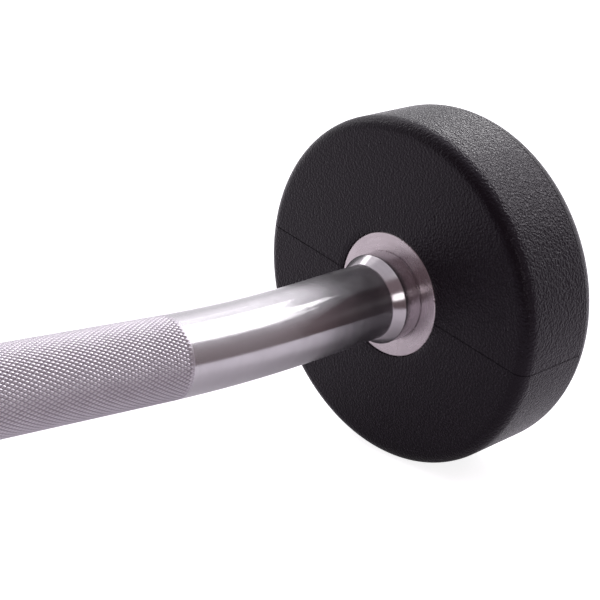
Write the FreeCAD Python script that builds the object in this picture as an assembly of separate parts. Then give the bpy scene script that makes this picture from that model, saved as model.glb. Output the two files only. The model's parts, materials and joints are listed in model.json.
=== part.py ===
import FreeCAD, Part
import math
import os

# Fixed curl barbell: one bent, knurled steel bar with a moulded head locked on each end.
# Millimetres. X runs along the barbell, Z is up, and the common axis of both heads is the X axis.
# Each end is drawn at the origin, with its inner face at X = 0 and outwards along +X,
# and is then moved to its place on the bar.

# Bar, from the middle outwards
grip_diameter = 30.0
centre_length = 80.0
centre_bend_radius = 90.0
inner_grip_drop = 25.0         # degrees, the slope of the inner grips
inner_grip_length = 104.0
shoulder_bend_radius = 90.0
outer_grip_length = 112.0
outer_grip_rise = 6.19         # degrees, the slope of the outer grips
outer_bend_radius = 661.6
stub_length = 41.7

# Knurled bands, measured along the bar
knurl_start = 109.2            # from the head's inner face
outer_knurl_length = 128.0
inner_knurl_length = 96.0
knurl_sink = 0.15              # how far the band's mean surface lies under the smooth bar

# Turned end of the bar
shoulder_step = 2.0            # from the bar's surface down to the turned end
spigot_chamfer = 1.0
spigot_relief = 0.6            # the turned end stops this far inside the washer
shoulder_inset = 0.3           # the bar's shoulder and the hub's face lie this far inside the head's face

# Shoulder collar
collar_wall = 3.0
collar_reach = 7.9             # its cylinder stands this far out of the head's face
collar_taper = 4.3
collar_lip = 0.2
collar_base_chamfer = 0.4

# Head, outside
head_diameter = 142.0
head_thickness = 44.4
inner_edge_radius = 5.5
outer_edge_radius = 11.8

# Mould lines on the head
parting_past_bend = 1.7        # the line round the side lies this far past the start of the outer rounding
seam_angle = 11.9              # degrees, slope of the line across the inner face
seam_width = 0.4
seam_depth = 0.25

# Cast core inside the head
inner_skin = 5.0
outer_skin = 4.9
side_skin = 6.0
core_chamfer = 5.0
keying_hole_diameter = 12.0
keying_hole_count = 6

# Hub bush
hub_rim = 7.6                  # width of its bright face, outside the collar
hub_edge_chamfer = 0.5
hub_wall = 6.0
hub_end_relief = 0.3           # the bush stops this far inside the washer

# Parallel key
key_width = 8.0
key_height = 7.0
key_depth_in_bar = 4.0
key_margin = 3.0               # from the shoulder, and from the turned end's tip
key_top_clearance = 0.3

# Retaining bolt and its washers
bolt_diameter = 12.0
bolt_length = 30.0
bolt_head_diameter = 18.0
bolt_head_height = 12.0
bolt_head_clearance = 1.0      # under the end cap
bolt_socket = 10.0             # across the flats
bolt_socket_depth = 6.0
bolt_edge = 1.0
tapping_spare = 5.0            # the tapped hole runs this far past the bolt's tip
drill_point_slope = 30.0       # degrees, the cone at the tapped hole's bottom
washer_bearing = 5.0           # the washer's width outside the bush, where it seats on the core
end_washer_thickness = 4.0
washer_edge = 0.5
lock_washer_diameter = 21.0
lock_washer_thickness = 2.5
lock_washer_gap = 2.0
lock_washer_lean = 20.0        # degrees, the slant of its cut

# End cap and its screws
cap_land = 10.5                # the cap's width outside the washer's pocket
cap_inset = 0.9                # the cap's face lies this far inside the head's outer face
cap_edge = 0.8
cap_screw_count = 3
cap_screw_diameter = 4.0
cap_screw_head_diameter = 8.0
cap_screw_length = 10.0
cap_screw_socket = 2.5
cap_screw_socket_depth = 1.6
cap_screw_sink = 0.2
cap_screw_spare = 1.5          # its hole runs this far past its tip

# Clearances and one overrun for all cuts
push_gap = 0.02                # pressed and bonded faces, on the radius
bolt_hole_gap = 0.5            # a washer's hole round the bolt
thread_gap = 0.1
pocket_gap = 0.5               # the washer's pocket and the cap's recess
overrun = 2.0

# Radii that follow, from the bar outwards
grip_radius = grip_diameter / 2
spigot_radius = grip_radius - shoulder_step
collar_radius = grip_radius + collar_wall
flange_radius = collar_radius + hub_rim
bush_radius = spigot_radius + hub_wall
end_washer_radius = bush_radius + washer_bearing
pocket_radius = end_washer_radius + pocket_gap
cap_radius = pocket_radius + cap_land
head_radius = head_diameter / 2
core_radius = head_radius - side_skin
key_seat = spigot_radius - key_depth_in_bar
cap_screw_ring = (pocket_radius + cap_radius) / 2
keying_ring = (cap_radius + core_radius - core_chamfer) / 2

# Depths that follow, from the head's inner face outwards
collar_nose = collar_reach + collar_taper
core_end = head_thickness - outer_skin
bolt_seat = core_end - bolt_head_clearance - bolt_head_height
bolt_tip = bolt_seat - bolt_length
washer_end = bolt_seat - lock_washer_thickness
washer_seat = washer_end - end_washer_thickness
spigot_end = washer_seat - spigot_relief
key_start = shoulder_inset + key_margin
key_length = spigot_end - key_margin - key_start
parting_line = head_thickness - outer_edge_radius + parting_past_bend
cap_face = head_thickness - cap_inset
cap_screw_top = cap_face - cap_screw_sink
cap_screw_head_height = (cap_screw_head_diameter - cap_screw_diameter) / 2

ALONG = FreeCAD.Vector(1, 0, 0)
UP = FreeCAD.Vector(0, 0, 1)
ORIGIN = FreeCAD.Vector(0, 0, 0)


def rod(radius, start, end):
    """A cylinder on the X axis from start to end."""
    return Part.makeCylinder(radius, end - start, FreeCAD.Vector(start, 0, 0), ALONG)


def turned(profile):
    """A solid of revolution about the X axis; profile lists (along, radius) corners."""
    corners = [FreeCAD.Vector(along, 0, radius) for along, radius in profile]
    face = Part.Face(Part.makePolygon(corners + corners[:1]))
    return face.revolve(ORIGIN, ALONG, 360)


def hexagon_hole(across_flats, start, end):
    """A hexagonal prism on the X axis, for a socket."""
    corner_radius = across_flats / 2 / math.cos(math.radians(30))
    corners = []
    for corner in range(7):
        angle = math.radians(60 * corner)
        across, up = corner_radius * math.cos(angle), corner_radius * math.sin(angle)
        corners.append(FreeCAD.Vector(start, across, up))
    return Part.Face(Part.makePolygon(corners)).extrude(ALONG * (end - start))


def round_pattern(shape, ring_radius, count):
    """Copies of a shape drawn on the X axis, set out evenly on a circle about it."""
    copies = []
    for number in range(count):
        copy = shape.copy()
        copy.translate(UP * ring_radius)
        copy.rotate(ORIGIN, ALONG, 360 * number / count)
        copies.append(copy)
    return copies


def bar_sections():
    """The bar's centre line from the middle to the head's face: (length, turn in degrees) pairs."""
    return [
        (centre_length / 2, 0),
        (centre_bend_radius * math.radians(inner_grip_drop), inner_grip_drop),
        (inner_grip_length, 0),
        (shoulder_bend_radius * math.radians(inner_grip_drop + outer_grip_rise),
         -inner_grip_drop - outer_grip_rise),
        (outer_grip_length, 0),
        (outer_bend_radius * math.radians(outer_grip_rise), outer_grip_rise),
        (stub_length, 0),
    ]


def knurled_bands(sections):
    """Where the two knurled bands of one half start and end, along the centre line."""
    ends = [0]
    for length, turn in sections:
        ends.append(ends[-1] + length)
    outer_end = ends[-1] - knurl_start
    inner_middle = (ends[2] + ends[3]) / 2
    return [
        (inner_middle - inner_knurl_length / 2, inner_middle + inner_knurl_length / 2),
        (outer_end - outer_knurl_length, outer_end),
    ]


def step_along(point, heading, length, turn):
    """The point and heading after one run or bend in the XZ plane."""
    start = math.radians(heading)
    if turn == 0:
        return point + FreeCAD.Vector(math.cos(start), 0, math.sin(start)) * length, heading
    end = math.radians(heading + turn)
    radius = length / math.radians(turn)
    reach = FreeCAD.Vector(math.sin(end) - math.sin(start), 0, math.cos(start) - math.cos(end))
    return point + reach * radius, heading + turn


def bar_piece(point, heading, length, turn, radius):
    """One run or bend of the bar as a solid."""
    angle = math.radians(heading)
    ahead = FreeCAD.Vector(math.cos(angle), 0, math.sin(angle))
    if turn == 0:
        return Part.makeCylinder(radius, length, point, ahead)
    bend_radius = length / math.radians(turn)
    middle = point + FreeCAD.Vector(-math.sin(angle), 0, math.cos(angle)) * bend_radius
    disc = Part.Face(Part.Wire(Part.makeCircle(radius, point, ahead)))
    return disc.revolve(middle, FreeCAD.Vector(0, -1, 0), turn)


def half_bar():
    """The right half of the bar up to the head's face, and the place of that face."""
    sections = bar_sections()
    bands = knurled_bands(sections)
    point, heading = ORIGIN, 0
    for length, turn in sections:
        point, heading = step_along(point, heading, length, turn)
    face = point.x
    point, heading, run = FreeCAD.Vector(0, 0, -point.z), 0, 0
    pieces = []
    for length, turn in sections:
        cuts = [edge for band in bands for edge in band if run < edge < run + length]
        stops = [run] + sorted(cuts) + [run + length]
        for start, stop in zip(stops, stops[1:]):
            middle = (start + stop) / 2
            knurled = any(low < middle < high for low, high in bands)
            radius = grip_radius - knurl_sink if knurled else grip_radius
            share = (stop - start) / length
            pieces.append(bar_piece(point, heading, stop - start, turn * share, radius))
            point, heading = step_along(point, heading, stop - start, turn * share)
        run += length
    return pieces, face


def key_slot(width, bottom, top, length, start):
    """A round-ended slot or key along X, standing up from the axis."""
    radius, height = width / 2, top - bottom
    block = Part.makeBox(length - width, width, height, FreeCAD.Vector(start + radius, -radius, bottom))
    near = Part.makeCylinder(radius, height, FreeCAD.Vector(start + radius, 0, bottom), UP)
    far = Part.makeCylinder(radius, height, FreeCAD.Vector(start + length - radius, 0, bottom), UP)
    return block.fuse([near, far]).removeSplitter()


def turned_end():
    """What is added to each end of the bar, past the head's inner face."""
    return turned([
        (0, 0),
        (0, grip_radius),
        (shoulder_inset, grip_radius),
        (shoulder_inset, spigot_radius),
        (spigot_end - spigot_chamfer, spigot_radius),
        (spigot_end, spigot_radius - spigot_chamfer),
        (spigot_end, 0),
    ])


def end_cuts():
    """What is cut from each end of the bar: the tapped hole and the key's seat."""
    radius = bolt_diameter / 2 + thread_gap
    bottom = bolt_tip - tapping_spare
    hole = turned([
        (bottom - radius * math.tan(math.radians(drill_point_slope)), 0),
        (bottom, radius),
        (spigot_end + overrun, radius),
        (spigot_end + overrun, 0),
    ])
    seat = key_slot(key_width + 2 * push_gap, key_seat, grip_radius + overrun,
                    key_length + 2 * push_gap, key_start - push_gap)
    return [hole, seat]


def curl_bar():
    """The whole bar, made of the right half and the same half turned about, and the heads' place."""
    pieces, face = half_bar()
    pieces.append(placed(turned_end(), 1, face))
    turned_about = [placed_left(piece) for piece in pieces]
    bar = pieces[0].fuse(pieces[1:] + turned_about).removeSplitter()
    cuts = []
    for side in (1, -1):
        cuts += [placed(cut, side, face) for cut in end_cuts()]
    return bar.cut(cuts), face


def collar():
    """The chamfered ring on the bar that the hub is pulled against."""
    bore = grip_radius + push_gap
    return turned([
        (shoulder_inset, bore),
        (shoulder_inset, collar_radius - collar_base_chamfer),
        (shoulder_inset - collar_base_chamfer, collar_radius),
        (-collar_reach, collar_radius),
        (-collar_nose, grip_radius + collar_lip),
        (-collar_nose, bore),
    ])


def hub():
    """The flanged bush that carries the head on the bar's turned end."""
    bore = spigot_radius + push_gap
    bush_end = washer_seat - hub_end_relief
    bush = turned([
        (shoulder_inset, bore),
        (shoulder_inset, flange_radius - hub_edge_chamfer),
        (shoulder_inset + hub_edge_chamfer, flange_radius),
        (inner_skin, flange_radius),
        (inner_skin, bush_radius),
        (bush_end, bush_radius),
        (bush_end, bore),
    ])
    width = key_width + 2 * push_gap
    slot = Part.makeBox(bush_end + 2 * overrun, width, key_seat + key_height + key_top_clearance,
                        FreeCAD.Vector(-overrun, -width / 2, 0))
    return bush.cut(slot)


def parallel_key():
    """The round-ended key, half in the bar and half in the hub."""
    return key_slot(key_width, key_seat, key_seat + key_height, key_length, key_start)


def core_envelope(gap):
    """The core's outer form, grown by a gap on its radius."""
    radius = core_radius + gap
    return turned([
        (inner_skin, 0),
        (inner_skin, radius - core_chamfer),
        (inner_skin + core_chamfer, radius),
        (core_end - core_chamfer, radius),
        (core_end, radius - core_chamfer),
        (core_end, 0),
    ])


def keying_holes(radius):
    """The holes through the core that the moulded cover grips by."""
    return round_pattern(rod(radius, inner_skin, core_end), keying_ring, keying_hole_count)


def weight_core():
    """The cast disc that makes up most of the head's weight."""
    bore = rod(bush_radius + push_gap, inner_skin - overrun, core_end)
    pocket = rod(pocket_radius, washer_seat, core_end + overrun)
    screw_hole = rod(cap_screw_diameter / 2 + thread_gap,
                     cap_screw_top - cap_screw_length - cap_screw_spare, core_end + overrun)
    holes = round_pattern(screw_hole, cap_screw_ring, cap_screw_count)
    return core_envelope(0).cut([bore, pocket] + keying_holes(keying_hole_diameter / 2) + holes)


def head_form(inset):
    """The head's outer form with its rounded edges, drawn smaller by an inset all round."""
    form = rod(head_radius - inset, inset, head_thickness - inset)
    inner = [edge for edge in form.Edges if edge.BoundBox.XMax < head_thickness / 2]
    form = form.makeFillet(inner_edge_radius - inset, inner)
    outer = [edge for edge in form.Edges if edge.BoundBox.XMin > head_thickness / 2]
    return form.makeFillet(outer_edge_radius - inset, outer)


def mould_lines():
    """The fine lines where the mould's halves met: across the inner face, and round the side."""
    slab = Part.makeBox(parting_line, head_diameter + 2 * overrun, seam_width,
                        FreeCAD.Vector(0, -head_radius - overrun, -seam_width / 2))
    slab.rotate(ORIGIN, ALONG, seam_angle)
    ring = rod(head_radius + overrun, parting_line - seam_width / 2, parting_line + seam_width / 2)
    return slab.fuse(ring).cut(head_form(seam_depth))


def head_cover():
    """The urethane body moulded round the core, open at the hub and at the end cap."""
    hub_hole = rod(flange_radius + push_gap, -overrun, inner_skin)
    cap_hole = rod(cap_radius + pocket_gap, core_end, head_thickness + overrun)
    shell = head_form(0).cut([core_envelope(push_gap), hub_hole, cap_hole])
    plugs = keying_holes(keying_hole_diameter / 2 - push_gap)
    return shell.fuse(plugs).removeSplitter().cut(mould_lines())


def end_washer():
    """The thick washer that seats on the core round the bush."""
    hole = bolt_diameter / 2 + bolt_hole_gap
    return turned([
        (washer_seat, hole),
        (washer_seat, end_washer_radius - washer_edge),
        (washer_seat + washer_edge, end_washer_radius),
        (washer_end - washer_edge, end_washer_radius),
        (washer_end, end_washer_radius - washer_edge),
        (washer_end, hole),
    ])


def lock_washer():
    """A spring washer closed flat, with its slanted cut."""
    ring = rod(lock_washer_diameter / 2, washer_end, bolt_seat)
    bore = rod(bolt_diameter / 2 + thread_gap, washer_end - overrun, bolt_seat + overrun)
    height = lock_washer_thickness + 2 * overrun
    gap = Part.makeBox(height, lock_washer_gap, lock_washer_diameter,
                       FreeCAD.Vector(washer_end - overrun, -lock_washer_gap / 2, 0))
    gap.rotate(FreeCAD.Vector(washer_end + lock_washer_thickness / 2, 0, 0), UP, lock_washer_lean)
    return ring.cut([bore, gap])


def head_bolt():
    """The socket-head bolt in the bar's tapped end."""
    shank = bolt_diameter / 2
    head = bolt_head_diameter / 2
    top = bolt_seat + bolt_head_height
    bolt = turned([
        (bolt_tip, 0),
        (bolt_tip, shank - bolt_edge),
        (bolt_tip + bolt_edge, shank),
        (bolt_seat, shank),
        (bolt_seat, head),
        (top - bolt_edge, head),
        (top, head - bolt_edge),
        (top, 0),
    ])
    return bolt.cut(hexagon_hole(bolt_socket, top - bolt_socket_depth, top + overrun))


def cap_screw_form(gap):
    """A countersunk screw on the X axis, grown by a gap on its radius."""
    shank = cap_screw_diameter / 2 + gap
    head = cap_screw_head_diameter / 2 + gap
    return turned([
        (cap_screw_top - cap_screw_length, 0),
        (cap_screw_top - cap_screw_length, shank),
        (cap_screw_top - cap_screw_head_height, shank),
        (cap_screw_top, head),
        (cap_screw_top, 0),
    ])


def end_cap():
    """The turned disc that closes the head's outer face."""
    disc = turned([
        (core_end, 0),
        (core_end, cap_radius),
        (cap_face - cap_edge, cap_radius),
        (cap_face, cap_radius - cap_edge),
        (cap_face, 0),
    ])
    mouth = rod(cap_screw_head_diameter / 2 + thread_gap, cap_screw_top, cap_face + overrun)
    hole = cap_screw_form(thread_gap).fuse(mouth)
    return disc.cut(round_pattern(hole, cap_screw_ring, cap_screw_count))


def cap_screws():
    """The countersunk screws of one end cap, as separate solids."""
    socket = hexagon_hole(cap_screw_socket, cap_screw_top - cap_screw_socket_depth, cap_screw_top + overrun)
    screw = cap_screw_form(0).cut(socket)
    return Part.makeCompound(round_pattern(screw, cap_screw_ring, cap_screw_count))


def placed_left(shape):
    """A shape of the right half turned about Z to the left half."""
    copy = shape.copy()
    copy.rotate(ORIGIN, UP, 180)
    return copy


def placed(shape, side, face):
    """A shape drawn at the origin, moved to the right end (side 1) or the left end (side -1)."""
    copy = shape.copy()
    copy.translate(ALONG * face)
    return copy if side == 1 else placed_left(copy)


def write(shape, name):
    """One sub-part as its own STEP file."""
    shape.exportStep(os.path.join("parts", name + ".step"))
    print(name, "solids", len(shape.Solids), "valid", shape.isValid(), "cm3", round(shape.Volume / 1000, 2))


def main():
    os.makedirs("parts", exist_ok=True)
    bar, face = curl_bar()
    write(bar, "curl_bar")
    end_pieces = {
        "collar": collar(),
        "hub": hub(),
        "key": parallel_key(),
        "weight_core": weight_core(),
        "head_cover": head_cover(),
        "end_washer": end_washer(),
        "lock_washer": lock_washer(),
        "head_bolt": head_bolt(),
        "end_cap": end_cap(),
        "cap_screws": cap_screws(),
    }
    for side, word in ((1, "right_"), (-1, "left_")):
        for name, shape in end_pieces.items():
            write(placed(shape, side, face), word + name)
    print("inner faces at X =", round(face, 3), "and", round(-face, 3),
          "overall length", round(2 * (face + head_thickness), 2))


main()
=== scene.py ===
# %% [markdown]
# # A fixed curl barbell, piece by piece
#
# The object is a one-piece curl bar with a black moulded head locked on each end. The bar is
# polished steel with two knurled grips on each half. Each head sits on a turned steel hub behind
# a chamfered collar, and a screwed steel cap closes its outer face.
#
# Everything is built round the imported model, which is imported first and never moved. Its pieces
# give the places. The pieces made here are finer copies of them, with real knurling, eased edges,
# mould lines and finishes.

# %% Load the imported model
import bmesh
import bpy
import json
import math
import random
from mathutils import Matrix, Vector

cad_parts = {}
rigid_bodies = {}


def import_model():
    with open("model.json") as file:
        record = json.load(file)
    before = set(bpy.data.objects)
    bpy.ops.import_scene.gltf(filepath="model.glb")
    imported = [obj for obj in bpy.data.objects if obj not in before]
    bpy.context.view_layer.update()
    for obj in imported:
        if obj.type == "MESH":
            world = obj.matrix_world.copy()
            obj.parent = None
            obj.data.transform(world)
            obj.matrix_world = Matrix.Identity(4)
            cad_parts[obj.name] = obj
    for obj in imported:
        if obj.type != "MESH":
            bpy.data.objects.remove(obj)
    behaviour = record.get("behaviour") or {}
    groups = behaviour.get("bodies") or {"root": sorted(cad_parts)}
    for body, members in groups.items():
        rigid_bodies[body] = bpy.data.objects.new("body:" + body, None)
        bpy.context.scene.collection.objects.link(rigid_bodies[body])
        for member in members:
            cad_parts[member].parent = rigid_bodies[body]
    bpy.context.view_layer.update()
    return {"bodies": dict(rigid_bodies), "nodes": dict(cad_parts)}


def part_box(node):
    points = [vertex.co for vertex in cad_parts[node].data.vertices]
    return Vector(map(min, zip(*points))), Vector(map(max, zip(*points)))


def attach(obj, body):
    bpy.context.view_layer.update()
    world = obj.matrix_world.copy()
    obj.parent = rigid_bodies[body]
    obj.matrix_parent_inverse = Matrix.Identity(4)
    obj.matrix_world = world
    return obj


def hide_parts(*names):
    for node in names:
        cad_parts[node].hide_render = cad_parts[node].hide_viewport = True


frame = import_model()
nodes = frame["nodes"]
body = next(iter(frame["bodies"]))
print("nodes:", len(nodes), "body:", body)

# %% [markdown]
# ## Sizes
#
# A barbell is turned and bent from a few driving sizes. They are written once here, in metres.
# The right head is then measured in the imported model. A reader who changes a size can compare
# the printed lines, and see whether the bar still ends where the head begins.

# %% Sizes of the bar
MM = 0.001

grip_radius = 15 * MM
centre_length = 80 * MM
tight_bend_radius = 90 * MM
inner_grip_drop = math.radians(25)
inner_grip_length = 104 * MM
outer_grip_length = 112 * MM
outer_grip_rise = math.radians(6.19)
wide_bend_radius = 661.6 * MM
stub_length = 41.7 * MM
knurl_start = 109.2 * MM
outer_knurl_length = 128 * MM
inner_knurl_length = 96 * MM

centre_line = [
    (centre_length / 2, 0),
    (tight_bend_radius * inner_grip_drop, inner_grip_drop),
    (inner_grip_length, 0),
    (tight_bend_radius * (inner_grip_drop + outer_grip_rise), -inner_grip_drop - outer_grip_rise),
    (outer_grip_length, 0),
    (wide_bend_radius * outer_grip_rise, outer_grip_rise),
    (stub_length, 0),
]
half_length = sum(length for length, turn in centre_line)
print("half of the bar's centre line:", round(half_length / MM, 2), "mm")

# %% Sizes of one end, outwards from the head's inner face
head_radius = 71 * MM
head_thickness = 44.4 * MM
inner_edge_radius = 5.5 * MM
outer_edge_radius = 11.8 * MM
parting_past_bend = 1.7 * MM
seam_angle = math.radians(11.9)
seam_width = 0.4 * MM
seam_depth = 0.25 * MM

inner_skin = 5 * MM
outer_skin = 4.9 * MM
side_skin = 6 * MM
core_chamfer = 5 * MM

shoulder_inset = 0.3 * MM
spigot_radius = 13 * MM
spigot_end = 19.4 * MM
collar_radius = 18 * MM
collar_reach = 7.9 * MM
collar_nose = 12.2 * MM
flange_radius = 25.6 * MM
bush_radius = 19 * MM
cap_radius = 35 * MM
push_gap = 0.02 * MM
tool_overrun = 1 * MM

core_end = head_thickness - outer_skin
core_radius = head_radius - side_skin
head_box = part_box("right_head_cover")
face_place = head_box[0].x
print("inner face of the right head at", round(face_place / MM, 2), "mm")
print("head in the model:", round((head_box[1].x - head_box[0].x) / MM, 2), "mm thick,",
      round((head_box[1].z - head_box[0].z) / MM, 2), "mm across")

# %% [markdown]
# ## Helpers for turned pieces
#
# Most of this object came off a lathe, so most of it is one outline spun round the X axis. The
# outline is a closed list of (along, radius) points. Real edges are never perfectly sharp, so
# each corner off the axis is eased into a tiny curve that catches the light. Every spun mesh also
# gets a UV map that runs along the outline in metres and once round the piece, because tool marks
# and the direction of the shine follow the lathe, not the room.

# %% Outline helpers
def eased(outline, ease, steps=3):
    """The closed outline with a small curve for every corner that isn't on the axis."""
    points = []
    for index, corner in enumerate(outline):
        if corner[1] == 0:
            points.append(corner)
            continue
        before = Vector(outline[index - 1])
        after = Vector(outline[(index + 1) % len(outline)])
        here = Vector(corner)
        reach = min(ease, 0.4 * (before - here).length, 0.4 * (after - here).length)
        start = here + (before - here).normalized() * reach
        end = here + (after - here).normalized() * reach
        for step in range(steps + 1):
            share = step / steps
            bend = start.lerp(here, share).lerp(here.lerp(end, share), share)
            points.append((bend.x, bend.y))
    return points


def arc(along, radius, bend, start, end, steps):
    """Points of a rounded edge: its middle, its radius, and its angles in degrees."""
    points = []
    for step in range(steps + 1):
        angle = math.radians(start + (end - start) * step / steps)
        points.append((along + bend * math.cos(angle), radius + bend * math.sin(angle)))
    return points


def divided(start, end, spacing):
    """Points between two points of an outline, about one spacing apart, without the last."""
    start, end = Vector(start), Vector(end)
    count = max(1, round((end - start).length / spacing))
    return [tuple(start.lerp(end, step / count)) for step in range(count)]


# %% [markdown]
# A ring of vertices is set out for each point of the outline, and neighbouring rings are joined
# by quads. Where the outline touches the axis, the ring shrinks to a single vertex, so that the
# pole is closed by triangles. After the faces are made their normals are recalculated, which
# works because the turned shell is a closed body, so that Blender can tell which way is out.

# %% Spin an outline into a mesh
uv_map = "UVMap"
sharp_corner = 30


def spin(outline, columns):
    """A bmesh of the closed outline spun about X, with its UV map."""
    made = bmesh.new()
    rings = []
    for along, radius in outline:
        if radius == 0:
            rings.append([made.verts.new((along, 0, 0))] * columns)
            continue
        ring = []
        for column in range(columns):
            angle = math.tau * column / columns
            ring.append(made.verts.new((along, -radius * math.sin(angle), radius * math.cos(angle))))
        rings.append(ring)
    lengths = [0]
    for here, there in zip(outline, outline[1:] + outline[:1]):
        lengths.append(lengths[-1] + (Vector(there) - Vector(here)).length)
    uv = made.loops.layers.uv.new(uv_map)
    for index, ring in enumerate(rings):
        following = rings[(index + 1) % len(rings)]
        for column in range(columns):
            turn = (column + 1) % columns
            corners = [
                (ring[column], lengths[index], column),
                (ring[turn], lengths[index], column + 1),
                (following[turn], lengths[index + 1], column + 1),
                (following[column], lengths[index + 1], column),
            ]
            kept = [c for n, c in enumerate(corners) if c[0] is not corners[n - 1][0]]
            if len({c[0] for c in kept}) < 3:
                continue
            face = made.faces.new([c[0] for c in kept])
            for loop, (vertex, along, around) in zip(face.loops, kept):
                loop[uv].uv = (along, around / columns)
    bmesh.ops.recalc_face_normals(made, faces=made.faces)
    return made


def mesh_from(made, name, sharp=sharp_corner):
    """An ordinary mesh from a bmesh, smooth except at corners sharper than the angle."""
    mesh = bpy.data.meshes.new(name)
    made.to_mesh(mesh)
    made.free()
    for face in mesh.polygons:
        face.use_smooth = True
    mesh.set_sharp_from_angle(angle=math.radians(sharp))
    return mesh


# %% [markdown]
# Both ends of the barbell are alike. A piece is drawn once at the origin, with the head's inner
# face at X = 0, and set down twice: moved out to the right face, and turned half round the Z axis
# for the left one. The move goes into the mesh itself, so the object stays at the origin.

# %% Set a piece down on both ends
sides = ("right", "left")
half_turn = Matrix.Rotation(math.pi, 4, "Z")


def triangle_count(mesh):
    """How many triangles the mesh's faces come to."""
    return sum(len(face.vertices) - 2 for face in mesh.polygons)


def show(mesh, side, name, node):
    """A mesh drawn for the right side, as a piece that stands for a CAD node."""
    if side == "left":
        mesh.transform(half_turn)
    piece = bpy.data.objects.new(f"{side}_{name}", mesh)
    bpy.context.scene.collection.objects.link(piece)
    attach(piece, body)
    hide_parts(node)


def both_ends(mesh, name, node, material):
    """The mesh as a right and a left piece."""
    mesh.materials.append(material)
    for side in sides:
        copy = mesh.copy()
        copy.transform(Matrix.Translation((face_place, 0, 0)))
        show(copy, side, name + "_finished", node if node in nodes else f"{side}_{node}")
    print(name, "has", triangle_count(mesh), "triangles at each end")


# %% [markdown]
# ## Node helpers
#
# Materials and Geometry Nodes trees are both graphs, so a few small helpers serve both. `value`
# puts a number in a socket or links another socket to it, `add` makes a node with its settings
# and inputs, and `maths` adds one arithmetic node and gives back its result, which keeps a
# formula readable as one line per step. An input's name is written with _ for each space.

# %% Numbers and vectors in a node tree
def value(tree, socket, given):
    """Links a socket, or sets it when a plain value is given."""
    if isinstance(given, bpy.types.NodeSocket):
        tree.links.new(given, socket)
    else:
        socket.default_value = given


def add(tree, kind, settings=None, **inputs):
    """A new node with its settings, and with the named inputs linked or set."""
    node = tree.nodes.new(kind)
    for label, setting in (settings or {}).items():
        setattr(node, label, setting)
    for label, given in inputs.items():
        value(tree, node.inputs[label.replace("_", " ")], given)
    return node


def filled(tree, node, *terms):
    """A node's first output, once its inputs are linked or set in their order."""
    for socket, term in zip(node.inputs, terms):
        value(tree, socket, term)
    return node.outputs[0]


def maths(tree, operation, *terms, clamp=False):
    """One arithmetic node, in a shader tree or a geometry tree."""
    node = add(tree, "ShaderNodeMath", {"operation": operation, "use_clamp": clamp})
    return filled(tree, node, *terms)


def vector_maths(tree, operation, first, second):
    """One vector arithmetic node."""
    node = add(tree, "ShaderNodeVectorMath", {"operation": operation}, Vector=first)
    value(tree, node.inputs["Scale" if operation == "SCALE" else 1], second)
    return node.outputs["Value" if operation == "DOT_PRODUCT" else "Vector"]


def combine(tree, x, y, z):
    """A vector from three numbers or sockets."""
    return filled(tree, add(tree, "ShaderNodeCombineXYZ"), x, y, z)


def separate(tree, vector):
    """The three parts of a vector."""
    return add(tree, "ShaderNodeSeparateXYZ", Vector=vector).outputs


# %% Ranges and colours in a node tree
def spread(tree, given, low, high, new_low=0.0, new_high=1.0, smooth=False):
    """One range of numbers mapped on to another, which is 0 to 1 unless it is given, clamped."""
    node = add(tree, "ShaderNodeMapRange", {"interpolation_type": "SMOOTHSTEP" if smooth else "LINEAR"})
    return filled(tree, node, given, low, high, new_low, new_high)


def blend(tree, factor, low, high):
    """A colour between two colours, which are numbers or sockets."""
    node = add(tree, "ShaderNodeMix", {"data_type": "RGBA"}, Factor=factor)
    ends = [socket for socket in node.inputs if socket.type == "RGBA"]
    for socket, colour in zip(ends, (low, high)):
        value(tree, socket, colour if isinstance(colour, bpy.types.NodeSocket) else (*colour, 1))
    return [socket for socket in node.outputs if socket.type == "RGBA"][0]


# %% [markdown]
# ## Shared effects
#
# Four effects make up the finishes of this object: the fine circular marks that a lathe or a
# grinder leaves, the pebbled grain of a moulded or cast skin, the stray pits that air bubbles
# leave in one, and the faint clouding that handling leaves on anything. Each is a shader group
# with named inputs, built once and placed in every material that needs it with its own values.

# %% Start a shader group
def shader_group(name, inputs, outputs):
    """An empty shader group with number inputs and outputs, and its two end nodes."""
    group = bpy.data.node_groups.new(name, "ShaderNodeTree")
    for label, start in inputs.items():
        socket = group.interface.new_socket(label, in_out="INPUT", socket_type="NodeSocketFloat")
        socket.default_value = start
    for label in outputs:
        group.interface.new_socket(label, in_out="OUTPUT", socket_type="NodeSocketFloat")
    entry = group.nodes.new("NodeGroupInput")
    result = group.nodes.new("NodeGroupOutput")
    return group, entry.outputs, result.inputs


def object_place(tree):
    """The place on the object, from its own coordinates."""
    return add(tree, "ShaderNodeTexCoord").outputs["Object"]


def object_mm(tree):
    """The place on the object in millimetres."""
    return vector_maths(tree, "SCALE", object_place(tree), 1 / MM)


def noise(tree, vector, scale, detail=2.0, roughness=0.5):
    """A noise texture's value."""
    node = add(tree, "ShaderNodeTexNoise", Vector=vector, Scale=scale, Detail=detail, Roughness=roughness)
    return node.outputs[0]


# %% [markdown]
# Tool marks run round the piece, so the noise is read from the UV map: very fast along the
# outline and very slowly round it. The way round is fed in as a sine and a cosine, so that the
# marks meet themselves after a full turn instead of showing a seam.

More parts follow.
